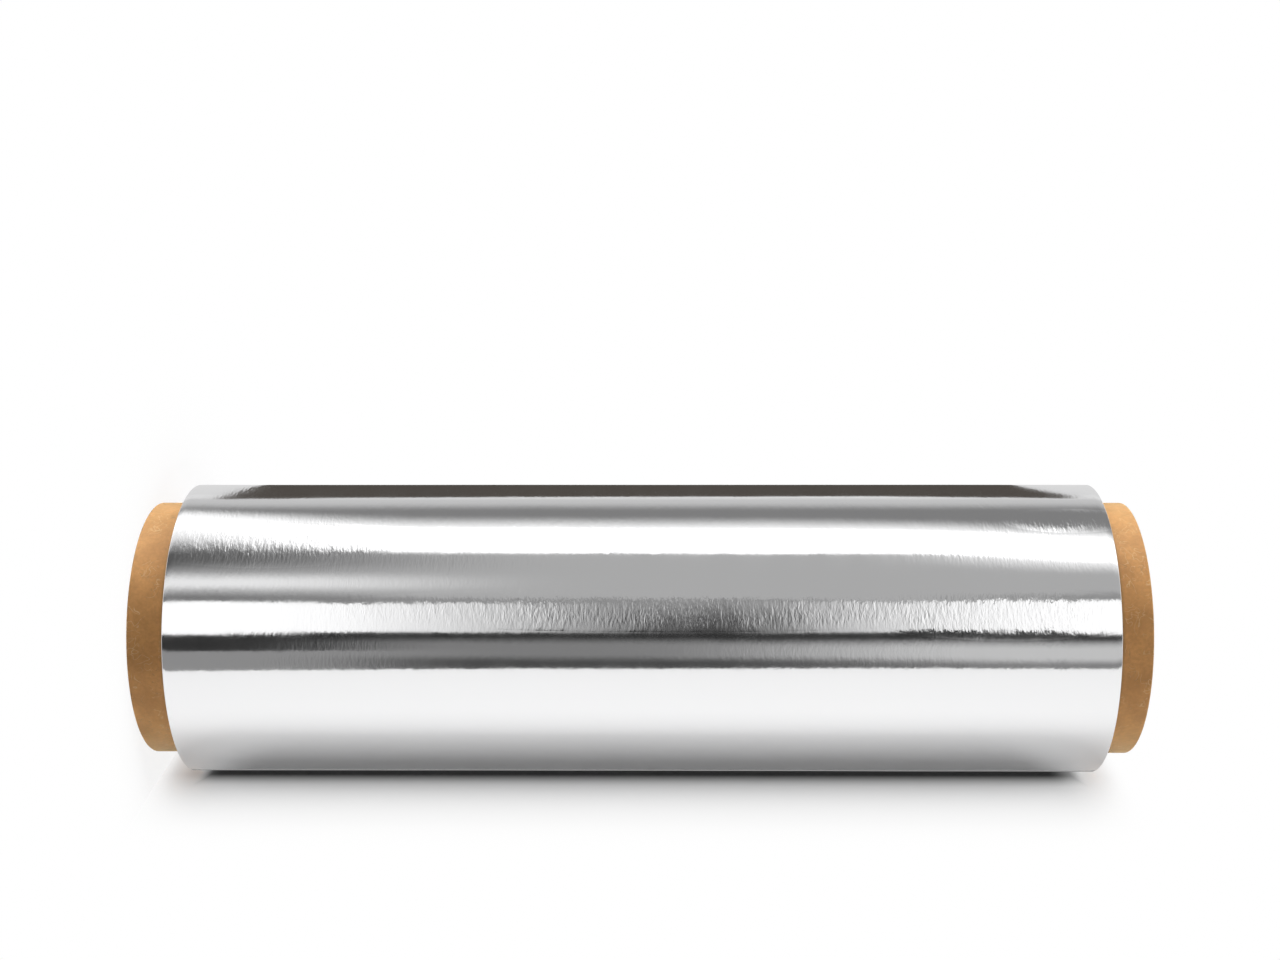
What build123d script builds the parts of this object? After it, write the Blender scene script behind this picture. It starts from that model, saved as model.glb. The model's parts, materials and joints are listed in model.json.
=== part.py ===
from build123d import *
import os
from math import cos, pi, radians, sin, sqrt

# A roll of aluminium foil on a spirally wound paper tube.
# Millimetres. The roll stands on one end of its tube, with its axis up +Z.
# The origin is on the axis, in the plane of the tube's lower end.

# Driving dimensions of the paper tube
core_bore_diameter = 76.0  # the common three inch bore
core_wall = 4.0
core_edge_break = 0.5  # the knife leaves the cut edges a little crushed
ply_width = 120.0  # width of the paper strips that the tube is wound from
seam_width = 0.6  # gap between one turn of the face strip and the next
seam_depth = 0.25
outer_seam_angle = 90.0  # where the outer seam starts at the lower end, in degrees from +X
inner_seam_angle = 300.0  # where the seam in the bore starts

# Driving dimensions of the foil
web_width = 300.0
winding_build = 6.3  # thickness of the wound foil, from the tube to the outside
free_end_step = 0.2  # how far the free end stands proud of the turn below it
free_end_angle = 150.0  # where the free end lies, in degrees from +X
shown_turns = 7  # turns that can be told apart on an end face
turn_groove_width = 0.4
turn_groove_depth = 0.25

# How far the tube stands out past the foil: the web was wound a little off its middle
lower_stub = 13.0
upper_stub = 11.5

# How far every cutting shape runs past the surface that it cuts
overrun = 1.0

# Worked out from the sizes above
core_bore_radius = core_bore_diameter / 2
core_radius = core_bore_radius + core_wall
core_length = lower_stub + web_width + upper_stub
foil_radius = core_radius + winding_build
foil_bottom = lower_stub
foil_top = lower_stub + web_width


def toward(angle, distance):
    """The point at a distance from the axis, at an angle in degrees from +X."""
    return Vector(distance * cos(radians(angle)), distance * sin(radians(angle)), 0)


def vee(mouth_width, depth):
    """The section of a V groove: its point below the surface, its mouth run on past it.

    The section points along -X, and the surface is at x = 0.
    """
    mouth = mouth_width / 2 * (depth + overrun) / depth
    return make_face(Polyline((-depth, 0), (overrun, mouth), (overrun, -mouth), close=True))


# The paper tube

def seam_pitch():
    """How far a strip climbs in one turn when its edges meet without a lap."""
    girth = 2 * pi * core_radius
    return ply_width / sqrt(1 - (ply_width / girth) ** 2)


def helical_seam(radius, start_angle, outward):
    """The cut that a strip's edge leaves in the outside or in the bore of the tube."""
    height = core_length + 2 * overrun
    start = Pos(0, 0, -overrun) * Rot(0, 0, start_angle)
    path = start * Helix(seam_pitch(), height, radius)
    outside = toward(start_angle, 1 if outward else -1)
    section_plane = Plane(origin=path @ 0, x_dir=outside, z_dir=path % 0)
    return sweep(section_plane * vee(seam_width, seam_depth), path=path, is_frenet=True)


def make_core_tube():
    wall = Pos(core_bore_radius, 0, 0) * Rectangle(core_wall, core_length, align=(Align.MIN, Align.MIN))
    wall = chamfer(wall.vertices(), core_edge_break)
    tube = revolve(Plane.XZ * wall, Axis.Z)
    tube -= helical_seam(core_radius, outer_seam_angle, True)
    tube -= helical_seam(core_bore_radius, inner_seam_angle, False)
    return tube


# The foil

def winding_outline():
    """The section across the roll: its outside grows by one step in a turn.

    Two half circles on two centres make the turn, as a spiral is drawn with compasses.
    """
    step = free_end_step
    edge_top = toward(free_end_angle, foil_radius)
    edge_foot = toward(free_end_angle, foil_radius - step)
    far_side = toward(free_end_angle, -foil_radius)
    first_half = RadiusArc(edge_foot, far_side, -(foil_radius - step / 2))
    second_half = RadiusArc(far_side, edge_top, -foil_radius)
    free_edge = Line(edge_top, edge_foot)
    return make_face([first_half, second_half, free_edge])


def turn_groove(face_height, facing_up):
    """The spiral that the turns' edges draw on an end face, as half turns on two centres."""
    pitch = winding_build / shown_turns
    section = vee(turn_groove_width, turn_groove_depth)
    facing = 1 if facing_up else -1
    halves = []
    for half in range(2 * (shown_turns - 1)):
        radius = core_radius + pitch / 2 + pitch / 2 * half
        odd = half % 2
        centre = toward(free_end_angle, pitch / 2 * odd)
        start = toward(free_end_angle, -radius if odd else radius)
        along = toward(free_end_angle, -1 if odd else 1)
        section_plane = Plane(
            origin=start + Vector(0, 0, face_height),
            x_dir=(0, 0, facing),
            z_dir=Vector(0, 0, facing).cross(along),
        )
        turning = Axis(centre, (0, 0, 1))
        halves.append(revolve(section_plane * section, turning, revolution_arc=180))
    return halves


def make_foil_winding():
    bore = Circle(core_radius)
    winding = Pos(0, 0, foil_bottom) * extrude(winding_outline() - bore, web_width)
    for groove in turn_groove(foil_bottom, False) + turn_groove(foil_top, True):
        winding -= groove
    return winding


os.makedirs("parts", exist_ok=True)
export_step(make_core_tube(), "parts/core_tube.step")
export_step(make_foil_winding(), "parts/foil_winding.step")
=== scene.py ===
# %% [markdown]
# A roll of aluminium foil on its kraft paper tube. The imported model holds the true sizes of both
# pieces. This script loads it as a fixed frame and dresses it: a foil skin with the slow waves and
# fine creases of wound foil, a paper tube with its seams and plies, and a small studio round them.

# %% Load the frame
import json
import math

import bmesh
import bpy
from mathutils import Matrix, Vector, noise


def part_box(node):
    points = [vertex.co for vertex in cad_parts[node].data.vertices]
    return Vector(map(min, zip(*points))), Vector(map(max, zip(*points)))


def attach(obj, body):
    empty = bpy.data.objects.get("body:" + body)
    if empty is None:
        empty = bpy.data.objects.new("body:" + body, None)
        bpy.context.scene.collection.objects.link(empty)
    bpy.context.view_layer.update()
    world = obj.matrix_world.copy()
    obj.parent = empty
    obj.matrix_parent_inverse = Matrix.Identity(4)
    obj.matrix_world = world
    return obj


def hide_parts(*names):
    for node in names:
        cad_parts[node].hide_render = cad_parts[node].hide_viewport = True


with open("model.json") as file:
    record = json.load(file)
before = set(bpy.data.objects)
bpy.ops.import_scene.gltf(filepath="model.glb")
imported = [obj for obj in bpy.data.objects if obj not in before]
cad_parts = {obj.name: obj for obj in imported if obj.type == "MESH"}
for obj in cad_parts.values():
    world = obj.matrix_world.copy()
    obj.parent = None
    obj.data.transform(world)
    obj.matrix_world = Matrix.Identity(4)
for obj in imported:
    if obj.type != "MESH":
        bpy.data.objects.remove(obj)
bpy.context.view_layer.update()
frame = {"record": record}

scene = bpy.context.scene
scene.view_settings.view_transform = "Standard"
mm = 0.001  # Blender counts in metres

# %% Sizes taken from the frame
tube_low, tube_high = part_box("core_tube")
foil_low, foil_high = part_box("foil_winding")
tube_radius = (tube_high.x - tube_low.x) / 2
tube_length = tube_high.z
foil_radius = foil_high.y
bore_mount = next(m for m in frame["record"]["mounts"] if m["name"] == "core_bore")
bore_radius = bore_mount["dims"]["r_mm"] * mm
middle = Vector((0, 0, tube_length / 2))
print("tube", tube_radius, tube_length, "foil", foil_radius, foil_low.z, foil_high.z)

# %% [markdown]
# Everything in the scene is an object with some data behind it: a mesh, a lamp or a camera. Short
# helpers make the meshes, put the objects in the scene and join two loops of points by faces.


# %% Helpers for objects
def new_mesh(name, verts, faces):
    """A mesh of its points and of the faces between them."""
    mesh = bpy.data.meshes.new(name)
    mesh.from_pydata(verts, [], faces)
    return mesh


def add_object(name, data):
    """An object that shows a mesh, a lamp or a camera in the scene."""
    thing = bpy.data.objects.new(name, data)
    scene.collection.objects.link(thing)
    return thing


def band(here, there, count):
    """The faces between two closed loops of points, each given by the number of its first one."""
    return [(here + i, there + i, there + (i + 1) % count, here + (i + 1) % count)
            for i in range(count)]


print("helpers for objects: new_mesh, add_object, band")

# %% [markdown]
# The photograph shows the roll on its side, from a little above, so the camera here is turned on
# its side: the picture's right is +Z, and its up is -Y. The distances come from a fit of the
# roll's outlines.

# %% The camera
camera_distance = 606.6 * mm  # from the lens to the roll's axis, along the view
camera_above = 49.7 * mm  # how far the view passes over the axis
camera_pitch = math.radians(15.0)  # how steeply it looks down on what the roll touches
camera_turn = math.radians(0.65)  # the roll's top end is this much nearer
sensor_width = 36.0
view_length_pixels = 1790.5  # the focal length in pixels of the 1280 pixel wide picture
picture_width_pixels = 1280

ahead_level = Vector((-math.cos(camera_pitch), math.sin(camera_pitch), 0))
picture_down = Vector((math.sin(camera_pitch), math.cos(camera_pitch), 0))
picture_right = math.cos(camera_turn) * Vector((0, 0, 1)) + math.sin(camera_turn) * ahead_level
ahead = math.cos(camera_turn) * ahead_level - math.sin(camera_turn) * Vector((0, 0, 1))

camera_data = bpy.data.cameras.new("photo_camera")
camera_data.sensor_width = sensor_width
camera_data.lens = view_length_pixels / picture_width_pixels * sensor_width
camera = add_object("photo_camera", camera_data)
scene.camera = camera
turned = Matrix((picture_right, -picture_down, -ahead)).transposed()
lens = middle - camera_distance * ahead - camera_above * picture_down
camera.matrix_world = Matrix.Translation(lens) @ turned.to_4x4()
print("camera at", tuple(round(c, 4) for c in lens), "lens", round(camera_data.lens, 2))

# %% [markdown]
# Every look in the scene is a tree of nodes, and the trees need the same few nodes again and
# again. So short helpers add them, which take numbers and other nodes' outputs alike.


# %% Helpers for node trees
def add_node(tree, kind, sockets=(), **settings):
    """Adds a node and gives its outputs. Its sockets get numbers, or links from other nodes."""
    node = tree.nodes.new(kind)
    for name, value in settings.items():
        setattr(node, name, value)
    for socket, value in dict(sockets).items():
        if isinstance(value, bpy.types.NodeSocket):
            tree.links.new(value, node.inputs[socket])
        else:
            node.inputs[socket].default_value = value
    return node.outputs


def new_material(name):
    """A material, and its node tree, which is still empty."""
    material = bpy.data.materials.new(name)
    material.use_nodes = True
    material.node_tree.nodes.clear()
    return material, material.node_tree


def show(tree, shader):
    """Makes a shader the one that a material shows."""
    add_node(tree, "ShaderNodeOutputMaterial", {"Surface": shader})


def maths(tree, operation, *values):
    """A sum, product or comparison of numbers."""
    return add_node(tree, "ShaderNodeMath", enumerate(values), operation=operation)[0]


def vector_node(tree, operation, *vectors):
    """A difference, product or length of vectors."""
    outputs = add_node(tree, "ShaderNodeVectorMath", enumerate(vectors), operation=operation)
    return outputs["Value" if operation == "LENGTH" else "Vector"]


def coordinates(tree, space):
    """Where a place is: in the piece's own space ("Object"), or on its map ("UV")."""
    return add_node(tree, "ShaderNodeTexCoord")[space]


def split(tree, vector):
    """The X, Y and Z of a vector."""
    return add_node(tree, "ShaderNodeSeparateXYZ", {"Vector": vector})


def between(tree, value, low, high, new_low=0.0, new_high=1.0, interpolation="LINEAR"):
    """The value from low to high, spread over new_low to new_high."""
    sockets = {"Value": value, "From Min": low, "From Max": high, "To Min": new_low,
               "To Max": new_high}
    return add_node(tree, "ShaderNodeMapRange", sockets, interpolation_type=interpolation)[0]


def smooth_step(tree, value, low, high):
    """A value that goes smoothly from 0 at low to 1 at high."""
    return between(tree, value, low, high, interpolation="SMOOTHSTEP")


def mix_shaders(tree, share, first, second):
    """A share of the second shader mixed into the first."""
    return add_node(tree, "ShaderNodeMixShader", {0: share, 1: first, 2: second})[0]


print("helpers for node trees: add_node, new_material, show, and one for each common node")

# %% [markdown]
# The studio is white. The world shows as white wherever it is seen, straight on or in the foil,
# and lights the roll far more weakly than that, so that the lamps shape it.

# %% The world
white = (1.0, 1.0, 1.0, 1.0)
fill_strength, seen_strength = 0.12, 1.0


def seen_rays(tree):
    """A value that is 1 for what the eye, the foil's gloss or glass sees, and 0 for light."""
    path = add_node(tree, "ShaderNodeLightPath")
    either = maths(tree, "MAXIMUM", path["Is Camera Ray"], path["Is Glossy Ray"])
    return maths(tree, "MAXIMUM", either, path["Is Transmission Ray"])


world = bpy.data.worlds.new("white_studio")
scene.world = world
world.use_nodes = True
world_tree = world.node_tree
world_tree.nodes.clear()
lighting, backdrop_white = (
    add_node(world_tree, "ShaderNodeBackground", {"Color": white, "Strength": strength})[0]
    for strength in (fill_strength, seen_strength)
)
world_shader = mix_shaders(world_tree, seen_rays(world_tree), lighting, backdrop_white)
add_node(world_tree, "ShaderNodeOutputWorld", {"Surface": world_shader})
print("the world lights the roll with a strength of", fill_strength)

# %% [markdown]
# Two pale surfaces carry the roll's shadow. The floor is what it stands on. The board stands
# against its far side and touches it, as the table does in the photograph, where the roll lies
# down. A single matt sheet would turn grey wherever the lamps don't reach. So each surface mixes
# two shaders: a pale matt one near the roll, which takes the shadow, and a white one further off.
#
# A soft shadow is darkest where two things touch and fades fast beside them. An exponential of the
# distance from an upright line does that. The board's shadow has to end past the foil's two ends
# too, where only the narrower tube stands.

# %% How the shadow fades
stage_albedo = (0.88, 0.88, 0.88, 1.0)
board_shadow = (0, 0, 0.0502, 0.007)  # its middle, how far it is full, and how slowly it fades
floor_shadow = (-0.028, 0.016, 0.044, 0.010)  # off the axis, away from the lamps
floor_least = 0.86  # the floor's shadow goes no further than this from white
lower_end_fade = (0.007, -0.022)  # where the board's shadow ends, from the foil's lower end
upper_end_fade = (-0.013, 0.014)  # and from its upper end


def distance_from(tree, middle_x, middle_y):
    """How far the surface is from an upright line, and its height."""
    spot = split(tree, add_node(tree, "ShaderNodeNewGeometry")["Position"])
    x = maths(tree, "SUBTRACT", spot["X"], middle_x)
    y = maths(tree, "SUBTRACT", spot["Y"], middle_y)
    flat = add_node(tree, "ShaderNodeCombineXYZ", {"X": x, "Y": y})[0]
    return vector_node(tree, "LENGTH", flat), spot["Z"]


def shadow_fade(tree, shadow, ends, least):
    """How far the shadow has faded to white: least under the roll, near 1 a few centimetres off.

    Ends is the height range beyond which there is none, or None.
    """
    middle_x, middle_y, full, slowness = shadow
    off, height = distance_from(tree, middle_x, middle_y)
    off = maths(tree, "MINIMUM", maths(tree, "SUBTRACT", full, off), 0)
    left = maths(tree, "EXPONENT", maths(tree, "DIVIDE", off, slowness))
    fade = maths(tree, "SUBTRACT", 1, left)
    if ends:
        low, high = ends
        below = smooth_step(tree, height, *(low + step for step in lower_end_fade))
        above = smooth_step(tree, height, *(high + step for step in upper_end_fade))
        past_ends = maths(tree, "MAXIMUM", below, above)
        fade = maths(tree, "MULTIPLY_ADD", left, past_ends, fade)
    return maths(tree, "MAXIMUM", fade, least)


print("the board's shadow is down to a third", board_shadow[2] + board_shadow[3], "m off the axis")

# %% [markdown]
# Where the roll touches the board, hardly any light gets in, so painted shade darkens the board's
# colour there, nearly to black in that crevice. The foil mirrors the board beside it. In the
# photograph that mirrored table is pale, also where the eye sees shadow, and palest round the
# roll's ends, where light comes in from the side. So a little white glow is added to the board as
# painted light, for the foil alone.

# %% The board's tones
# painted shade: the board's colour goes towards black near the line where the roll touches it
crevice_start, crevice_end = 0.0498, 0.0535  # from the axis: the board is darkest, then pale
painted_crevice_shade = 0.06  # its darkest tone, as a share of the pale one
crevice_ends = 0.145, 0.150  # from the middle of the roll's height: where the crevice ends
board_in_foil = 0.78  # how much of the board's brightness the foil shows
crevice_in_foil = 0.9  # and how much of that in the crevice
# painted light: a white glow added to the board, which only the foil's reflections see
lift_start, lift_end, lift = 0.018, 0.068, 0.77  # from the line of contact: white for the foil
lift_least = 0.06  # the foil sees this much of it right by the roll too
past_end_start, past_end_full = 0.142, 0.171  # from the middle of the height: more of it
past_end_lift, past_end_slant = 0.36, 0.7  # how much more, and how much sooner off the roll


def board_tones(tree, in_foil):
    """Board albedo with painted shade in the crevice, and painted white added for the foil."""
    off, _ = distance_from(tree, 0, 0)
    along, height = distance_from(tree, 0, foil_radius)
    from_middle = maths(tree, "ABSOLUTE", maths(tree, "SUBTRACT", height, middle.z))
    crevice = smooth_step(tree, off, crevice_start, crevice_end)
    crevice = maths(tree, "MAXIMUM", crevice, smooth_step(tree, from_middle, *crevice_ends))
    light = maths(tree, "MULTIPLY_ADD", crevice, 1 - painted_crevice_shade, painted_crevice_shade)
    mirrored = maths(tree, "MULTIPLY_ADD", crevice, 1 - crevice_in_foil, crevice_in_foil)
    mirrored = maths(tree, "MULTIPLY", mirrored, board_in_foil)
    more = maths(tree, "SUBTRACT", mirrored, light)
    light = maths(tree, "MULTIPLY_ADD", more, in_foil, light)
    albedo = maths(tree, "MULTIPLY", light, stage_albedo[0])
    off_roll = smooth_step(tree, along, lift_start, lift_end)
    lifted = maths(tree, "MAXIMUM", maths(tree, "MULTIPLY", off_roll, lift), lift_least)
    past_end = maths(tree, "MULTIPLY_ADD", along, past_end_slant, from_middle)
    past_end = smooth_step(tree, past_end, past_end_start, past_end_full)
    by_roll = maths(tree, "POWER", maths(tree, "SUBTRACT", 1, off_roll), 2)
    past_end = maths(tree, "MULTIPLY", past_end, by_roll)
    lifted = maths(tree, "MULTIPLY_ADD", past_end, past_end_lift, lifted)
    return albedo, maths(tree, "MULTIPLY", lifted, in_foil)


print("the crevice is dark up to", round((crevice_end - foil_radius) / mm, 1), "mm off the foil")

# %% [markdown]
# The eye and the foil need not see the same studio. The foil shows no floor, so that the studio's
# bands run down to its lower end, and it shows the board only on the camera's side. The board has
# one face only, so from behind it is clear, and the roll can be looked at from there.

# %% What lets a ray through
board_shown_from = 0.015  # the foil shows the board from this X on


def hidden_floor(tree, path):
    """1 where the floor lets a ray through."""
    return maths(tree, "MAXIMUM", path["Is Glossy Ray"], path["Is Shadow Ray"])


def hidden_board(tree, path):
    """1 where the board lets a ray through."""
    side = add_node(tree, "ShaderNodeNewGeometry")
    far = maths(tree, "LESS_THAN", split(tree, side["Position"])["X"], board_shown_from)
    far = maths(tree, "MULTIPLY", far, path["Is Glossy Ray"])
    behind = maths(tree, "MAXIMUM", side["Backfacing"], far)
    return maths(tree, "MAXIMUM", behind, path["Is Shadow Ray"])


def fading_white(name, shadow, ends, least, hidden):
    """A pale surface that holds the shadow near the roll and is plain white further off.

    Hidden is a function that gives a value of 1 where the surface lets a ray through.
    """
    material, tree = new_material(name)
    path = add_node(tree, "ShaderNodeLightPath")
    fade = shadow_fade(tree, shadow, ends, least)
    fade = maths(tree, "MULTIPLY", fade, path["Is Camera Ray"])
    albedo = stage_albedo
    if ends:
        albedo, lifted = board_tones(tree, path["Is Glossy Ray"])
        fade = maths(tree, "ADD", fade, lifted)
    pale = add_node(tree, "ShaderNodeBsdfDiffuse", {"Color": albedo})[0]
    plain = add_node(tree, "ShaderNodeEmission")[0]
    clear = add_node(tree, "ShaderNodeBsdfTransparent")[0]
    shown = mix_shaders(tree, fade, pale, plain)
    show(tree, mix_shaders(tree, hidden(tree, path), shown, clear))
    return material


print("the foil shows the board from x =", board_shown_from)

# %% [markdown]
# The foil's bright lower band is the board, mirrored. It ends, and the dark room begins, at the
# board's front edge. In the photograph that line isn't quite straight, so the board's edge is
# drawn through a few points.

# %% The floor and the board
floor_half = 0.62
board_front_edge = [  # (height, x)
    (-0.051, 0.222), (-0.033, 0.227), (-0.007, 0.234), (0.054, 0.254), (0.114, 0.275),
    (0.283, 0.290), (0.354, 0.280)
]
board_back_edge = -0.45
board_below, board_above = -0.45, 0.78


def flat_stage(name, corners, material):
    """A flat surface of the studio, drawn through its corners."""
    mesh = new_mesh(name, corners, [tuple(range(len(corners)))])
    mesh.materials.append(material)
    surface = add_object(name, mesh)
    return surface


floor = flat_stage(
    "pale_floor",
    [(x * floor_half, y * floor_half, 0) for x, y in ((-1, -1), (1, -1), (1, 1), (-1, 1))],
    fading_white("pale_floor", floor_shadow, None, floor_least, hidden_floor),
)
floor.visible_diffuse = False  # it throws no light up at the tube's lower end
front_low, front_high = board_front_edge[0][1], board_front_edge[-1][1]
board = flat_stage(
    "pale_board",
    [
        (board_back_edge, foil_radius, board_below),
        (front_low, foil_radius, board_below),
        *[(x, foil_radius, height) for height, x in board_front_edge],
        (front_high, foil_radius, board_above),
        (board_back_edge, foil_radius, board_above),
    ],
    fading_white("pale_board", board_shadow, (foil_low.z, foil_high.z), 0.0, hidden_board),
)
print("board faces", tuple(board.data.polygons[0].normal))

# %% [markdown]
# Foil is a mirror, so what stands round it makes its look. One could paint the bands on, but then
# they would stay put when the roll is turned. So tall cards stand in a ring round it, and the foil
# shows them as long bands. A card's edges are given by where the foil shows them from the camera's
# place: 0 is the middle of the roll, 1 its upper edge and -1 its lower one. The angle that a ray
# leaves the foil at is worked out from that share by the law of the mirror.

# %% Where the foil shows a thing
lens_distance = math.hypot(camera_distance, camera_above)
lens_angle = -(camera_pitch + math.atan(camera_above / camera_distance))


def shown_at(share, height, distance):
    """The point, at a distance from the axis, that the foil shows at a share and a height.

    The share is taken across the roll as the picture shows it, the height along it.
    """
    into = math.asin(share)
    turned_by = math.asin(share * foil_radius / lens_distance)
    spot_angle, way_angle = into - turned_by, 2 * into - turned_by
    spot = foil_radius * Vector((math.cos(spot_angle), math.sin(spot_angle)))
    way = Vector((math.cos(way_angle), math.sin(way_angle)))
    nearest = -spot.dot(way)
    run = nearest + math.sqrt(nearest**2 + distance**2 - foil_radius**2)
    end = spot + way * run
    to_spot = (Vector((lens_distance, 0)) - spot).length
    z = lens.z + (height - lens.z) * (to_spot + run) / to_spot
    angle = lens_angle - math.atan2(end.y, end.x)
    return Vector((distance * math.cos(angle), distance * math.sin(angle), z))


print("ceiling is about", tuple(round(c, 2) for c in shown_at(0.4, 0.16, 0.9)))

# %% [markdown]
# Paper and board are matt, so they need lamps. The main one hangs high behind the roll and lights
# the top of the tube and the board. The others only fill: a weak one by the camera, one behind and
# one over the upper end. All are large, for soft shadows, and none is seen in the foil, where the
# cards stand for them.

# %% Lamps
lamps = [  # name, angle from the lens, distance, height, width, length and brightness
    ("overhead_lamp", 80, 0.55, 0.17, 0.24, 0.95, 8.2),
    ("front_lamp", 10, 0.85, 0.50, 0.30, 0.6, 0.2),
    ("back_lamp", 215, 0.90, 0.30, 0.80, 0.8, 0.7),
    ("top_lamp", 0, 1.0, 0.0, 0.8, 0.8, 1.6),
]
top_lamp_place = (0, -0.15, 1.25)  # it looks straight down, so it isn't placed by an angle


def add_lamp(name, angle, distance, height, width, length, brightness):
    """A soft lamp at an angle from the lens. It lights paper and board, not the foil."""
    data = bpy.data.lights.new(name, "AREA")
    data.shape = "RECTANGLE"
    data.size = width
    data.size_y = length
    data.energy = brightness * math.pi * width * length
    lamp = add_object(name, data)
    a = lens_angle - math.radians(angle)
    back = Vector((math.cos(a), math.sin(a), 0))
    up = Vector((0, 0, 1))
    face = Matrix((up.cross(back), up, back)).transposed().to_4x4()
    lamp.matrix_world = Matrix.Translation(distance * back + height * up) @ face
    lamp.visible_glossy = lamp.visible_camera = False
    return lamp


top_lamp = [add_lamp(*numbers) for numbers in lamps][-1]
top_lamp.matrix_world = Matrix.Translation(top_lamp_place)
print(len(lamps), "lamps, and", top_lamp.name, "looks straight down")

# %% [markdown]
# A card is a sheet that glows in one grey. Where it ends in the photograph in a soft edge, it
# fades out: a map from 0 to 1 across and along the card tells the material how near an edge is.
# Cards stand at several distances, so a nearer one covers a farther one, as things in a room do.


# %% A card's material
def card_material(name, grey, tint, soft):
    """A card of one grey that fades out at its edges, over shares of its width and length.

    Soft holds the fades at the edge with the lower share, the higher one, the foot and the top.
    Those that it leaves out are sharp.
    """
    material, tree = new_material(name)
    shown = add_node(tree, "ShaderNodeEmission", {"Color": (*tint, 1), "Strength": grey})[0]
    spot = split(tree, coordinates(tree, "UV"))
    inside = None
    for along, edge, fade in zip("XXYY", (0, 1, 0, 1), soft):
        if fade:
            step = smooth_step(tree, spot[along], edge, abs(edge - fade))
            inside = step if inside is None else maths(tree, "MULTIPLY", inside, step)
    if inside is not None:
        clear = add_node(tree, "ShaderNodeBsdfTransparent")[0]
        shown = mix_shaders(tree, inside, clear, shown)
    show(tree, shown)
    return material


print("a card fades over shares of its width and length")

# %% [markdown]
# The bands in the foil aren't straight: they bend where the wound web is a little fuller. A card's
# edge may therefore be a list of heights and shares, and its mesh follows them in short steps.


# %% A card's mesh
def follow(bends, height):
    """A share that is one number, or that bends along the roll through (height, share) pairs."""
    if isinstance(bends, (int, float)):
        return bends
    if height <= bends[0][0]:
        return bends[0][1]
    for (h0, s0), (h1, s1) in zip(bends, bends[1:]):
        if height <= h1:
            return s0 + (s1 - s0) * (height - h0) / (h1 - h0)
    return bends[-1][1]


card_columns, card_rows = 8, 120


def add_card(name, grey, low, high, distance, foot=-0.3, top=0.6, soft=(), tint=(1, 1, 1),
             at=shown_at):
    """A card that the foil shows between two shares and two heights. Only the foil sees it."""
    verts, corners, faces = [], [], []
    for j in range(card_rows + 1):
        height = foot + (top - foot) * j / card_rows
        start, end = follow(low, height), follow(high, height)
        for i in range(card_columns + 1):
            verts.append(at(start + (end - start) * i / card_columns, height, distance))
            corners.append((i / card_columns, j / card_rows))
    row = card_columns + 1
    for j in range(card_rows):
        for k in range(j * row, j * row + card_columns):
            faces.append((k, k + 1, k + row + 1, k + row))
    mesh = new_mesh(name, verts, faces)
    layer = mesh.uv_layers.new(name="across_and_along")
    for loop in mesh.loops:
        layer.data[loop.index].uv = corners[loop.vertex_index]
    mesh.materials.append(card_material(name, grey, tint, soft))
    card = add_object(name, mesh)
    card.visible_camera = card.visible_diffuse = card.visible_shadow = False


print("a card has", card_columns * card_rows, "faces")

# %% [markdown]
# The brightest band is the softbox that hangs over the roll. Its lower edge runs down at the left
# in the photograph, where the foil has slumped a little, and a soft spill lies along that edge.

# %% The bright softbox overhead and the grey beyond it
softbox_low = [(0.013, 0.705), (0.022, 0.688), (0.032, 0.652), (0.044, 0.630), (0.0565, 0.578),
               (0.066, 0.542), (0.088, 0.519), (0.12, 0.516), (0.25, 0.512), (0.275, 0.485),
               (0.30, 0.45)]
softbox_high = [(0.013, 0.76), (0.05, 0.735), (0.09, 0.705), (0.22, 0.695), (0.27, 0.672),
                (0.31, 0.628)]
glow_high = [(h, s + 0.085) for h, s in softbox_high]
add_card("grey_beyond", 0.22, 0.45, 0.925, 0.95)
add_card("light_line", 0.56, 0.815, 0.925, 0.92, soft=(0.6, 0.1))
add_card("softbox", 1.5, softbox_low, softbox_high, 0.60, soft=(0.12, 0.05))
add_card("softbox_glow", 1.1, softbox_low, glow_high, 0.62, soft=(0, 0.42))
spill_high = [(h, s + 0.015) for h, s in softbox_low]
spill_low = [(0.013, 0.555), (0.044, 0.525), (0.066, 0.505), (0.12, 0.497)]
add_card("softbox_spill_low", 1.05, spill_low, spill_high, 0.64, top=0.14, soft=(0.85, 0, 0, 0.12))
spill_low = [(h, s - 0.09) for h, s in softbox_low]
add_card("softbox_spill_high", 0.95, spill_low, spill_high, 0.64, foot=0.235, soft=(1.0, 0, 0.15))

# %% [markdown]
# Under the softbox the foil shows the grey ceiling, which has a dark and a bright patch at the
# left, and a thin dark line over a strip light. The strip light is white at both ends and grey in
# its middle, where the camera and its stand are in the way. Two soft dark cards stand for those.

# %% The ceiling, and a strip light with the dark camera before it
add_card("ceiling", 0.42, 0.17, 0.66, 0.94)
add_card("ceiling_dark_low", 0.10, 0.345, 0.625, 0.88, top=0.135, soft=(0.42, 0.45, 0, 0.30))
add_card("ceiling_bright_low", 0.85, 0.235, 0.39, 0.87, top=0.135, soft=(0.4, 0.5, 0, 0.22))
line_high = [(0.013, 0.257), (0.07, 0.250), (0.11, 0.222), (0.20, 0.210)]
add_card("ceiling_line_low", 0.17, 0.175, line_high, 0.86, top=0.26, soft=(0.1, 0.7, 0, 0.5))
add_card("ceiling_line_high", 0.26, 0.19, 0.262, 0.86, foot=0.25, soft=(0.1, 0.75, 0.12))
strip_low = [(0.013, -0.063), (0.038, -0.065), (0.057, -0.043), (0.0875, -0.046), (0.27, -0.039),
             (0.306, -0.060)]
strip_high = [(0.013, 0.180), (0.10, 0.177), (0.17, 0.173), (0.25, 0.190), (0.31, 0.207)]
add_card("strip_light", 1.1, strip_low, strip_high, 0.85, soft=(0.05, 0.06))
add_card("camera_dark", 0.25, strip_low, 0.205, 0.6, foot=0.047, top=0.302,
         soft=(0, 0.1, 0.5, 0.5))
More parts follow.
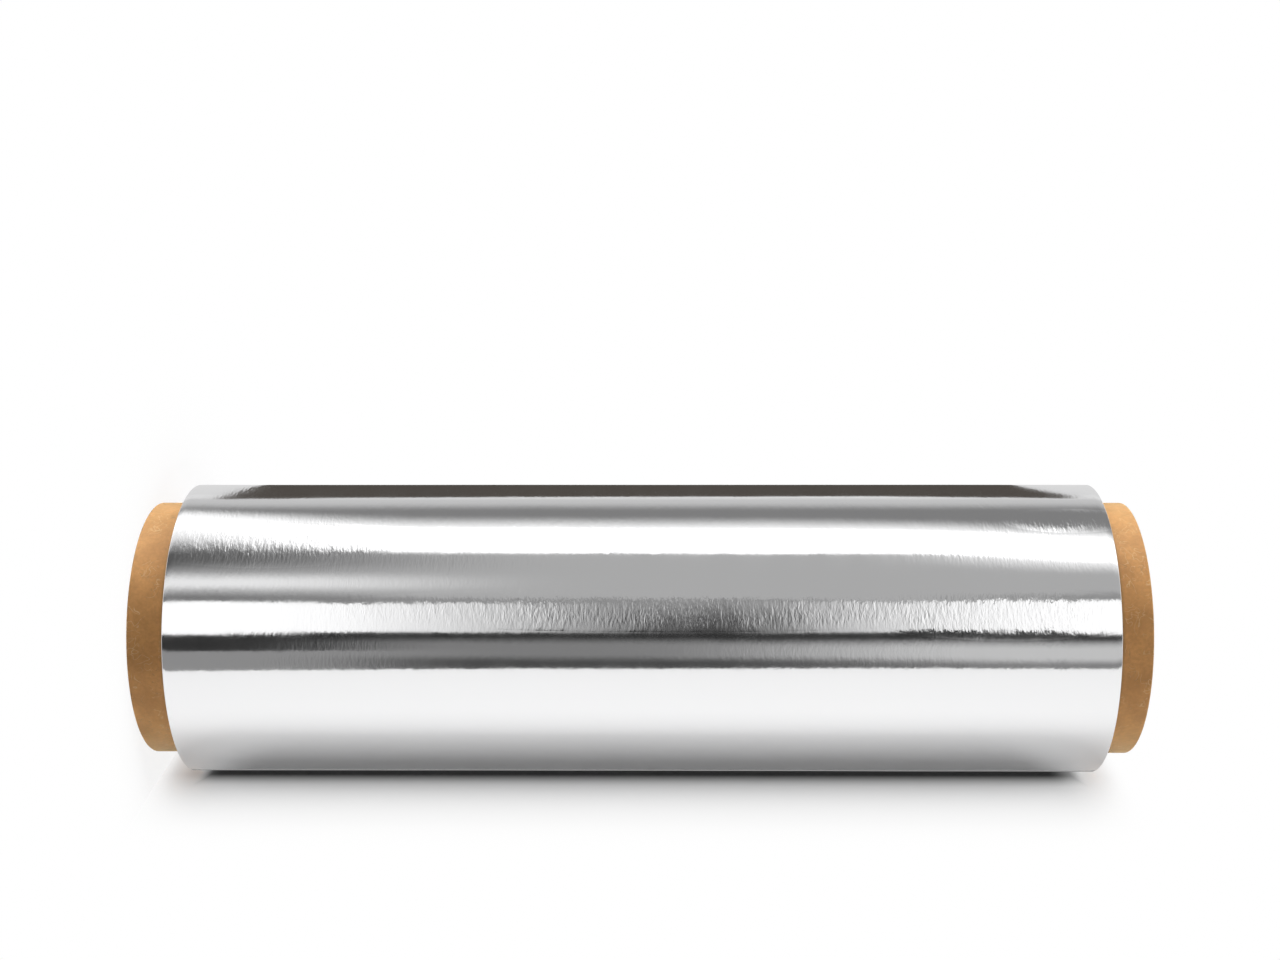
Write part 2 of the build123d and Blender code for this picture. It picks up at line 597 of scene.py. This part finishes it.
add_card("camera_core", 0.05, strip_low, 0.205, 0.58, foot=0.145, top=0.225,
         soft=(0, 0.7, 0.5, 0.5))

# %% [markdown]
# Below the strip light lies the dim room in front of the table: a dark line right under the strip,
# then greys that change along the roll. It ends in a sharp edge, which is the board's front edge.

# %% The room below the camera
add_card("room", 0.21, -0.32, -0.02, 0.93)
add_card("under_strip", 0.03, -0.128, strip_low, 0.84, soft=(0.75,))
add_card("room_low_dark", 0.03, -0.176, -0.05, 0.83, top=0.10, soft=(0.05, 0.3, 0, 0.15))
add_card("room_low_light", 0.27, -0.32, -0.150, 0.86, top=0.12, soft=(0, 0.08, 0, 0.15))
add_card("room_right", 0.56, -0.27, -0.075, 0.81, foot=0.16, soft=(0.3, 0.4, 0.25))
add_card("table_edge_dark", 0.07, -0.32, -0.19, 0.80, foot=0.05, top=0.29,
         soft=(0, 0.45, 0.25, 0.45))

# %% [markdown]
# Near its upper edge the foil is seen at a low angle and shows what is behind it: a dark thing as
# long as the foil, close by, with a pale backdrop round it. The dark card ends in points at both
# ends, because a mirror that curves away squeezes the card's height together.

# %% What stands close behind the roll
behind_low = [(0.022, 0.896), (0.044, 0.899), (0.063, 0.904), (0.119, 0.909), (0.18, 0.911),
              (0.243, 0.913), (0.275, 0.906), (0.306, 0.902)]
behind_high = [(0.022, 0.900), (0.027, 0.924), (0.031, 0.960), (0.035, 0.9995), (0.287, 0.9995),
               (0.294, 0.964), (0.303, 0.924), (0.306, 0.910)]
add_card("pale_behind", 0.72, 0.925, 0.9995, 0.99)
add_card("rim_line", 0.76, 0.888, 0.93, 0.91, soft=(0.6,))
add_card("dark_behind", 0.07, behind_low, behind_high, 0.35, foot=0.022, top=0.306,
         soft=(0.1, 0, 0.02, 0.02), tint=(1.1, 0.97, 0.85))

# %% [markdown]
# The photograph says nothing of the far side. Plain greys there give the foil bands from behind
# too. They are placed by the angle where they stand, since no camera place is given for them. The
# flag stands close behind the roll, where the rays from the main camera pass it by.


# %% Cards on the far side, for a look from behind
def standing_at(degrees, height, distance):
    """The point at an angle from +X, for a card that is placed by the angle where it stands."""
    angle = math.radians(degrees)
    return Vector((distance * math.cos(angle), distance * math.sin(angle), height))


back_foot = -0.6
for name, grey, low, high, distance, soft in (
    ("back_ceiling", 0.42, 18, 62, 0.9, (0.3, 0.1)),
    ("back_dark", 0.10, 84, 94, 0.9, (0.15, 0.6)),
    ("back_room", 0.36, 90, 118, 0.92, (0.1, 0.5)),
    ("back_floor", 0.28, 132, 162, 0.9, (0.1, 0.4)),
):
    add_card(name, grey, low, high, distance, foot=back_foot, soft=soft, at=standing_at)
add_card("back_flag", 0.08, 150, 186, 0.085, foot=-0.12, top=0.45, soft=(0.3, 0.3), at=standing_at)
cards = [thing for thing in scene.objects if thing.type == "MESH" and not thing.visible_camera]
print(len(cards), "cards stand round the roll")

# %% [markdown]
# The foil's skin. Wound foil is never a perfect cylinder: it has slow waves a few centimetres long
# and a tenth of a millimetre high, which bend the bands. They are in the mesh, as a noise of the
# place in space, which meets itself round the roll without a seam. The free end is a step along
# the outside, so the skin is a spiral of one turn that starts and ends there.

# %% The foil's outside
free_end_angle = math.radians(150)
free_end_step = 0.2 * mm
skin_columns, skin_rows = 320, 170
edge_round = 0.2 * mm  # radius of the skin's edges
wave_height = 0.11 * mm
broad_waves, small_waves = (22, 22, 9), (55, 55, 24)  # how many per metre along X, Y and Z
small_share, small_shift = 0.35, 7
wave_sink = 0.6  # in wave heights: it keeps the skin inside its cylinder


def noise_at(point, per_metre, shift=0):
    """Noise at a place, with features per metre of its own along X, Y and Z."""
    x, y, z = (along * number for along, number in zip(point, per_metre))
    return noise.noise(Vector((x + shift, y, z)))


def wave(point):
    """How far the skin stands off its cylinder: slow waves, seamless round the roll."""
    broad, small = noise_at(point, broad_waves), noise_at(point, small_waves, small_shift)
    return wave_height * (broad + small_share * small - wave_sink)


def skin_profile():
    """Points down the skin as (height, how far in from the outside), rounded at both edges."""
    low, high = foil_low.z, foil_high.z
    rounding = []
    for degrees in (0, 30, 60, 90):
        a = math.radians(degrees)
        rounding.append((high - edge_round * (1 - math.cos(a)), edge_round * (1 - math.sin(a))))
    step = (high - low - 2 * edge_round) / skin_rows
    straight = [(high - edge_round - step * i, 0.0) for i in range(1, skin_rows)]
    lower = [(low + (high - z), inset) for z, inset in reversed(rounding)]
    return rounding + straight + lower


profile = skin_profile()
print("skin profile", len(profile), "points")

# %% [markdown]
# The end faces show the edges of the turns. There are some four hundred, far too fine to draw, so
# fourteen stand for them: a spiral of ridges, each turn's edge a little higher or lower than the
# next, as the web wanders while it is wound.

# %% The turns' edges on an end face
drawn_turns = 14
rim = 0.25 * mm  # left free inside the skin's rounded edge
turn_pitch = (foil_radius - edge_round - rim - tube_radius) / drawn_turns
valley = 0.10 * mm  # how deep the end face lies between two ridges
wander = 0.09 * mm  # how far the ridges' own depths differ
wander_round, wander_across = 1.5, 0.9  # how fast it changes, round the roll and turn by turn


def ridge_depth(turns_from_tube, angle):
    """How far below the end face a turn's edge lies: it wanders slowly as the web is wound."""
    spot = Vector((math.cos(angle) * wander_round, math.sin(angle) * wander_round,
                   turns_from_tube * wander_across))
    return wander * (0.5 + noise.noise(spot)) / 2


def turn_edges(turn):
    """Points outwards across an end face, as (radius, depth), at a share of a turn.

    Valleys and ridges take turns. The innermost ridge grows out of the tube's face.
    """
    angle = free_end_angle + math.tau * turn
    first = valley + turn * (ridge_depth(turn - 1, angle) - valley)
    points = [(tube_radius, valley), (tube_radius + turn_pitch * turn / 2, first)]
    for j in range(drawn_turns - 1):
        along = j + turn
        points.append((tube_radius + turn_pitch * along, valley))
        points.append((tube_radius + turn_pitch * (along + 0.5), ridge_depth(along, angle)))
    points.append((tube_radius + turn_pitch * (drawn_turns - 1 + turn), valley))
    return points


print("points across an end face", len(turn_edges(0)))

# %% [markdown]
# The foil is one closed mesh: a section that runs out over the upper end face, down the skin and
# back in over the lower face, turned round the axis in small steps. A screw modifier can't do it,
# because the section changes as it goes round: the turns move outwards by one pitch. The bore's
# wall closes the section, and one strip of faces closes the step at the free end.

# %% Building the foil
bright, dull = 0, 1  # the numbers of the foil's two materials: its skin's and its cut edges'


def build_foil():
    """One closed mesh: the skin, both end faces and the step of the free end."""
    verts, faces, kinds = [], [], []
    across = len(turn_edges(0))
    down = len(profile)
    for column in range(skin_columns + 1):
        turn = column / skin_columns
        angle = free_end_angle + math.tau * turn
        c, s = math.cos(angle), math.sin(angle)
        for radius, depth in turn_edges(turn):
            verts.append((radius * c, radius * s, foil_high.z - depth))
        skin_radius = foil_radius - free_end_step * (1 - turn)  # one step more in a turn
        for z, inset in profile:
            stand = wave(Vector((foil_radius * c, foil_radius * s, z)))
            radius = skin_radius + stand - inset
            verts.append((radius * c, radius * s, z))
        for radius, depth in reversed(turn_edges(turn)):
            verts.append((radius * c, radius * s, foil_low.z + depth))
    stride = 2 * across + down
    skin_top, skin_foot = across, across + down - 1
    for column in range(skin_columns):
        faces += band(column * stride, (column + 1) * stride, stride)
        kinds += [bright if skin_top <= i < skin_foot else dull for i in range(stride)]
    last = skin_columns * stride
    for i in range(skin_top, skin_foot):
        faces.append((last + i, last + i + 1, i + 1, i))
    top_valley, foot_valley = skin_top - 1, skin_foot + 1
    faces.append((skin_top, top_valley, last + top_valley - 1, last + top_valley, last + skin_top))
    faces.append((last + skin_foot, last + foot_valley, last + foot_valley + 1, foot_valley,
                  skin_foot))
    kinds += [bright] * (len(faces) - len(kinds))
    mesh = new_mesh("foil_web", verts, faces)
    for polygon, kind in zip(mesh.polygons, kinds):
        polygon.material_index = kind
    return mesh


# %% [markdown]
# Each mesh needs the same care before it is used. Points that meet become one, faces without area
# go, the rest face outwards, and edges stay sharp where two faces meet at an angle.

# %% Cleaning a mesh
meeting = 0.002 * mm  # points nearer than this are one point
no_length = 0.0001 * mm  # an edge shorter than this has no length


def tidy_mesh(mesh, sharp_angle):
    """Joins points that meet, drops faces without area, turns the faces outwards and smooths."""
    bm = bmesh.new()
    bm.from_mesh(mesh)
    bmesh.ops.remove_doubles(bm, verts=bm.verts, dist=meeting)
    bmesh.ops.dissolve_degenerate(bm, edges=bm.edges, dist=no_length)
    bmesh.ops.recalc_face_normals(bm, faces=bm.faces)
    open_edges = sum(1 for edge in bm.edges if len(edge.link_faces) != 2)
    bm.to_mesh(mesh)
    bm.free()
    mesh.shade_smooth()
    mesh.set_sharp_from_angle(angle=math.radians(sharp_angle))
    print(mesh.name, "faces", len(mesh.polygons), "open edges", open_edges)


# %% The foil in the scene
foil = add_object("foil_web", build_foil())
tidy_mesh(foil.data, sharp_angle=50)
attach(foil, "root")
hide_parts("foil_winding")
# %% [markdown]
# Foil and paper get their fine detail from noise in the space of the piece, so it needs no map and
# has no seam. Three helpers make the nodes: noise with its own size along each axis, bump in
# metres, and a mix of two colours.

# %% Helpers for finishes
most_noise = 0.3, 0.7  # nearly all of a noise lies between these


def noise_node(tree, scale, detail=3.0, roughness=0.55, shift=0.0, distortion=0.0):
    """Noise with features per metre: one number, or one each along X, Y and Z."""
    if not isinstance(scale, tuple):
        scale = (scale, scale, scale)
    place = coordinates(tree, "Object")
    sockets = {"Vector": place, "Scale": scale, "Location": (shift, shift, shift)}
    mapped = add_node(tree, "ShaderNodeMapping", sockets)[0]
    sockets = {"Vector": mapped, "Scale": 1.0, "Detail": detail, "Roughness": roughness,
               "Distortion": distortion}
    return add_node(tree, "ShaderNodeTexNoise", sockets)["Fac"]


def bump_node(tree, height, distance, normal=None):
    """Bump by a height from 0 to 1 that is worth a distance, on top of another bump."""
    sockets = {"Strength": 1.0, "Distance": distance, "Height": height}
    if normal is not None:
        sockets["Normal"] = normal
    return add_node(tree, "ShaderNodeBump", sockets)[0]


def mix_colours(tree, share, first, second):
    """A share of the second colour mixed into the first."""
    first, second = ((*c, 1) if isinstance(c, tuple) else c for c in (first, second))
    return add_node(tree, "ShaderNodeMix", {0: share, 6: first, 7: second}, data_type="RGBA")[2]


print("helpers for finishes: noise_node, bump_node, mix_colours")

# %% [markdown]
# Hands have dulled the foil in a few places: a patch of fine dents makes the edge of a band look
# feathered there, as at the left end and across the middle in the photograph. A list of places
# drives the strength of the dents. Painting a mask by hand would do it too, but needs a map.

# %% Where the foil has been handled
handled_spots = [  # angle, height, reach round, reach along, strength
    (-53, 0.042, 0.0115, 0.055, 1.0),
    (-26, 0.172, 0.0088, 0.145, 1.0),
    (-24.5, 0.278, 0.0105, 0.058, 0.95),
    (-65, 0.300, 0.007, 0.026, 1.5),
    (60, 0.100, 0.030, 0.080, 0.6),
    (110, 0.240, 0.030, 0.070, 0.6),
    (165, 0.130, 0.028, 0.090, 0.6),
    (235, 0.210, 0.030, 0.080, 0.6),
]
spot_start, spot_full = 1.0, 0.35  # the shares of its reach where a spot begins and is full
untouched = 0.22  # how strong the dents are everywhere else


def handled(tree):
    """How much the foil has been handled at a place."""
    here = coordinates(tree, "Object")
    most = untouched
    for angle, height, reach_round, reach_along, strength in handled_spots:
        a = math.radians(angle)
        spot = (foil_radius * math.cos(a), foil_radius * math.sin(a), height)
        away = vector_node(tree, "SUBTRACT", here, spot)
        away = vector_node(tree, "DIVIDE", away, (reach_round, reach_round, reach_along))
        near = smooth_step(tree, vector_node(tree, "LENGTH", away), spot_start, spot_full)
        near = maths(tree, "MULTIPLY", near, strength)
        most = maths(tree, "MAXIMUM", near, most)
    return most


print(len(handled_spots), "handled spots")

# %% [markdown]
# The foil's finish. Rolling leaves the bright side as a mirror with a faint grain round the roll,
# which smears a reflection along the roll a little: that is the anisotropy. Handling adds dents
# and creases about a millimetre wide. Both are bump, because they are finer than the mesh.

# %% The bright foil
foil_colour = (0.93, 0.93, 0.935, 1)
foil_roughness = 0.075, 0.12  # it varies between these
grain_smear, grain_turn = 0.6, 0.25  # how much the grain smears, and a quarter turn of it
dent_height, grain_height = 0.085 * mm, 0.075 * mm
dent_size, grain_size, haze_size = (240, 240, 520), (360, 360, 1300), (40, 40, 120)  # per metre
patch_size = (60, 60, 45)
patch_noise, patch_strength = (0.35, 0.6), (0.45, 1.1)  # the dents are stronger in patches


def bright_foil():
    """The mirror-bright side, with a faint haze, dents and grain."""
    material, tree = new_material("bright_foil")
    tangent = add_node(tree, "ShaderNodeTangent", direction_type="RADIAL", axis="Z")[0]
    haze = noise_node(tree, haze_size, detail=4.0)
    dents = noise_node(tree, dent_size, detail=2.5, shift=3.0, distortion=0.35)
    grain = noise_node(tree, grain_size, detail=2.0, roughness=0.5, distortion=0.2)
    patches = noise_node(tree, patch_size, detail=2.0, shift=9.0)
    patches = between(tree, patches, *patch_noise, *patch_strength)
    patches = maths(tree, "MULTIPLY", patches, handled(tree))
    dents = maths(tree, "MULTIPLY", dents, patches)
    grain = maths(tree, "MULTIPLY", grain, maths(tree, "MINIMUM", patches, 1.0))
    normal = bump_node(tree, dents, dent_height)
    shader = add_node(tree, "ShaderNodeBsdfPrincipled", {
        "Base Color": foil_colour,
        "Metallic": 1.0,
        "Anisotropic": grain_smear,
        "Anisotropic Rotation": grain_turn,
        "Tangent": tangent,
        "Roughness": between(tree, haze, *most_noise, *foil_roughness),
        "Normal": bump_node(tree, grain, grain_height, normal),
    })
    show(tree, shader[0])
    return material


foil.data.materials.append(bright_foil())
print("finish", foil.data.materials[bright].name)

# %% [markdown]
# The end faces show the web's cut edges. They are the same metal but duller, with rings finer than
# the ridges in the mesh. A noise of one number, the distance from the axis, makes those rings.

# %% The cut edges
edge_colour = (0.80, 0.80, 0.81, 1)
edge_roughness = 0.28, 0.42
rings_per_metre, ring_height = 9000.0, 0.03 * mm
smudge_size = 90


def foil_edges():
    """The cut edges of the turns: the same metal, dulled by fine rings."""
    material, tree = new_material("foil_edges")
    spot = coordinates(tree, "Object")
    radius = vector_node(tree, "LENGTH", vector_node(tree, "MULTIPLY", spot, (1, 1, 0)))
    sockets = {"W": radius, "Scale": rings_per_metre, "Detail": 2.0}
    rings = add_node(tree, "ShaderNodeTexNoise", sockets, noise_dimensions="1D")["Fac"]
    smudge = noise_node(tree, smudge_size, detail=3.0)
    shader = add_node(tree, "ShaderNodeBsdfPrincipled", {
        "Base Color": edge_colour,
        "Metallic": 1.0,
        "Roughness": between(tree, smudge, *most_noise, *edge_roughness),
        "Normal": bump_node(tree, rings, ring_height),
    })
    show(tree, shader[0])
    return material


foil.data.materials.append(foil_edges())
print("finish", foil.data.materials[dull].name)

# %% [markdown]
# The paper tube. A knife cuts it to length, which crushes the corners a little and shows the plies
# as rings on the end faces. All of that is the same all round, so the wall is a section that is
# revolved about the axis.

# %% The tube's wall
tube_columns = 256
corner_round, corner_points = 0.55 * mm, 5
plies_shown = 6
ply_line_width, ply_line_depth = 0.16 * mm, 0.14 * mm


def corner(radius, height, start):
    """A rounded corner of the wall, its middle at a radius and height."""
    points = []
    for i in range(corner_points):
        a = math.radians(start + 90 * i / (corner_points - 1))
        points.append((radius + corner_round * math.cos(a), height + corner_round * math.sin(a)))
    return points


def ply_lines(height, inward, outwards):
    """Small grooves between the plies, across an end face."""
    wall = tube_radius - bore_radius
    points = []
    for ply in range(1, plies_shown):
        radius = bore_radius + wall * ply / plies_shown
        for off, depth in ((-0.5, 0), (0, ply_line_depth), (0.5, 0)):
            points.append((radius + off * ply_line_width, height + inward * depth))
    return points if outwards else points[::-1]


def wall_section():
    """The wall's section as (radius, height), corner by corner from the outside at the top."""
    inner, outer = bore_radius + corner_round, tube_radius - corner_round
    low, high = corner_round, tube_length - corner_round
    section = corner(outer, high, 0) + ply_lines(tube_length, -1, False)
    section += corner(inner, high, 90) + corner(inner, low, 180)
    section += ply_lines(0.0, 1, True) + corner(outer, low, 270)
    return section


def revolve(name, section, columns):
    """A closed mesh: the section turned about the axis."""
    verts, faces = [], []
    for column in range(columns):
        a = math.tau * column / columns
        verts += [(r * math.cos(a), r * math.sin(a), z) for r, z in section]
    count = len(section)
    for column in range(columns):
        faces += band(column * count, (column + 1) % columns * count, count)
    return new_mesh(name, verts, faces)


tube = add_object("paper_tube", revolve("paper_tube", wall_section(), tube_columns))
print("the wall's section has", len(wall_section()), "points")

# %% [markdown]
# The tube is wound on a mandrel from strips of kraft paper, so its face strip leaves a helical
# seam outside and another one in the bore. The strip's width and the tube's girth give the climb.
# The seams are cut out of the wall with a V-shaped tool that climbs like a screw thread, because a
# boolean keeps the smooth wall between the turns as it is.

# %% The seams
ply_width = 120 * mm
seam_width, seam_depth = 0.6 * mm, 0.25 * mm
outer_seam_angle, inner_seam_angle = 90, 300  # where they start at the lower end, from +X
overrun = 1.0 * mm  # how far the tool runs past what it cuts
seam_steps = 120  # in a turn
tube_sharp_angle = 32  # edges stay sharp where two faces turn by more than this
girth = math.tau * tube_radius
seam_pitch = ply_width / math.sqrt(1 - (ply_width / girth) ** 2)
print("a strip climbs", round(seam_pitch / mm, 1), "mm in a turn")


def seam_tool(name, radius, start_degrees, outward):
    """A V-shaped tool that climbs the wall, from outside it to its point inside the paper."""
    side = 1 if outward else -1
    height = tube_length + 2 * overrun
    steps = int(height / seam_pitch * seam_steps)
    half_mouth = seam_width / 2 * (seam_depth + overrun) / seam_depth
    verts = []
    for i in range(steps + 1):
        z = -overrun + height * i / steps
        a = math.radians(start_degrees) + math.tau * (z + overrun) / seam_pitch
        out = Vector((math.cos(a), math.sin(a), 0)) * side
        climb = Vector((-math.sin(a) * math.tau * radius, math.cos(a) * math.tau * radius,
                        seam_pitch)).normalized()
        across = half_mouth * climb.cross(out)
        on_wall = Vector((radius * math.cos(a), radius * math.sin(a), z))
        mouth = on_wall + overrun * out
        verts += [on_wall - seam_depth * out, mouth + across, mouth - across]
    faces = [(0, 1, 2), (3 * steps + 2, 3 * steps + 1, 3 * steps)]
    for i in range(steps):
        faces += band(3 * i, 3 * i + 3, 3)
    tool = add_object(name, new_mesh(name, verts, faces))
    tidy_mesh(tool.data, tube_sharp_angle)
    return tool


# %% Cutting the seams
def cut(piece, tool):
    """Cuts the tool's shape out of the piece, and throws the tool away."""
    modifier = piece.modifiers.new("cut", "BOOLEAN")
    modifier.operation = "DIFFERENCE"
    modifier.solver = "EXACT"
    modifier.object = tool
    graph = bpy.context.evaluated_depsgraph_get()
    cut_mesh = bpy.data.meshes.new_from_object(piece.evaluated_get(graph))
    piece.modifiers.clear()
    uncut = piece.data
    piece.data = cut_mesh
    bpy.data.meshes.remove(uncut)
    bpy.data.meshes.remove(tool.data)  # the tool goes with it


cut(tube, seam_tool("outer_seam_tool", tube_radius, outer_seam_angle, True))
cut(tube, seam_tool("inner_seam_tool", bore_radius, inner_seam_angle, False))
tube.data.name = "paper_tube"
tidy_mesh(tube.data, tube_sharp_angle)
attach(tube, "root")
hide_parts("core_tube")

# %% [markdown]
# Kraft paper is unbleached: brown, cloudy, with pale and dark fibres that curl over each other and
# a few specks of bark. The cloud and the fibres are noise. A fibre is a thin line where a noise
# crosses its middle value, kept only in patches, so that it stays short.

# %% Fibres, and the corners under the foil
patch_fade = 0.05  # how gently a patch of fibres begins
# painted shade: a dark brown mixed into the paper's colour next to the foil's ends
shade_start, shade_full = 2.7 * mm, 1.4 * mm  # from the foil's end faces
shade_brown, shade_strength = (0.16, 0.07, 0.02), 0.6


def fibres(tree, scale, shift, width, patch_scale, patch_level):
    """Short curled lines: 1 on a fibre and 0 beside it."""
    field = noise_node(tree, scale, detail=1.5, shift=shift, distortion=0.6)
    off = maths(tree, "ABSOLUTE", maths(tree, "SUBTRACT", field, 0.5))
    line = smooth_step(tree, off, width, 0.0)
    patch = noise_node(tree, patch_scale, detail=1.0, shift=shift + 5)
    patch = smooth_step(tree, patch, patch_level, patch_level + patch_fade)
    return maths(tree, "MULTIPLY", line, patch)


def corner_shade(tree, colour):
    """Painted shade: darkens the paper in the two corners where the foil's ends stand up."""
    height = split(tree, coordinates(tree, "Object"))["Z"]
    away = maths(tree, "SUBTRACT", height, (foil_low.z + foil_high.z) / 2)
    past_foil = maths(tree, "SUBTRACT", maths(tree, "ABSOLUTE", away),
                      (foil_high.z - foil_low.z) / 2)
    shade = smooth_step(tree, past_foil, shade_start, shade_full)
    shade = maths(tree, "MULTIPLY", shade, shade_strength)
    return mix_colours(tree, shade, colour, shade_brown)


print("the paper is shaded in the corners at", foil_low.z, "and", foil_high.z)

# %% [markdown]
# The colour is mixed from the deepest layer up: cloud, fine mottle, pale fibres, dark fibres, and
# painted shade in the corners under the foil. Loose fibres stand up from the paper and catch a
# light from above, so it has a warm sheen, which makes the tube's top paler and less brown than
# its side.

# %% The kraft paper
cloud_dark, cloud_pale = (0.48, 0.194, 0.041), (0.67, 0.294, 0.077)
mottle_brown = (0.36, 0.133, 0.025)
pale_fibre, dark_fibre = (0.74, 0.50, 0.27), (0.24, 0.11, 0.04)
mottle_most, pale_most, dark_most = 0.35, 0.55, 0.45  # how much each covers what is below it
cloud_noise, mottle_noise = (0.32, 0.68), (0.35, 0.65)
paper_roughness = 0.62, 0.5  # where the cloud is dark, and where it is pale
sheen_tint = (1.0, 0.87, 0.50, 1)
cloud_height, tooth_height, fibre_height = 0.05 * mm, 0.03 * mm, 0.03 * mm


def kraft_paper():
    """Brown paper with cloud, mottle and fibres, in colour and in bump."""
    material, tree = new_material("kraft_paper")
    cloud = between(tree, noise_node(tree, 110, detail=4.0), *cloud_noise)
    colour = mix_colours(tree, cloud, cloud_dark, cloud_pale)
    mottle = between(tree, noise_node(tree, 900, shift=2.0), *mottle_noise, 0.0, mottle_most)
    colour = mix_colours(tree, mottle, colour, mottle_brown)
    pale = fibres(tree, 260, shift=4.0, width=0.016, patch_scale=140, patch_level=0.52)
    dark = fibres(tree, 210, shift=8.0, width=0.012, patch_scale=160, patch_level=0.54)
    for fibre, most, brown in ((pale, pale_most, pale_fibre), (dark, dark_most, dark_fibre)):
        share = maths(tree, "MULTIPLY", fibre, most)
        colour = mix_colours(tree, share, colour, brown)
    tooth = noise_node(tree, 1500, shift=6.0)
    normal = bump_node(tree, cloud, cloud_height)
    normal = bump_node(tree, tooth, tooth_height, normal)
    ridges = maths(tree, "SUBTRACT", pale, dark)
    shader = add_node(tree, "ShaderNodeBsdfPrincipled", {
        "Base Color": corner_shade(tree, colour),
        "Roughness": between(tree, cloud, 0.0, 1.0, *paper_roughness),
        "Specular IOR Level": 0.3,
        "Sheen Weight": 0.6,
        "Sheen Roughness": 0.7,
        "Sheen Tint": sheen_tint,
        "Normal": bump_node(tree, ridges, fibre_height, normal),
    })
    show(tree, shader[0])
    return material


tube.data.materials.clear()
tube.data.materials.append(kraft_paper())
print("finish", tube.data.materials[0].name)
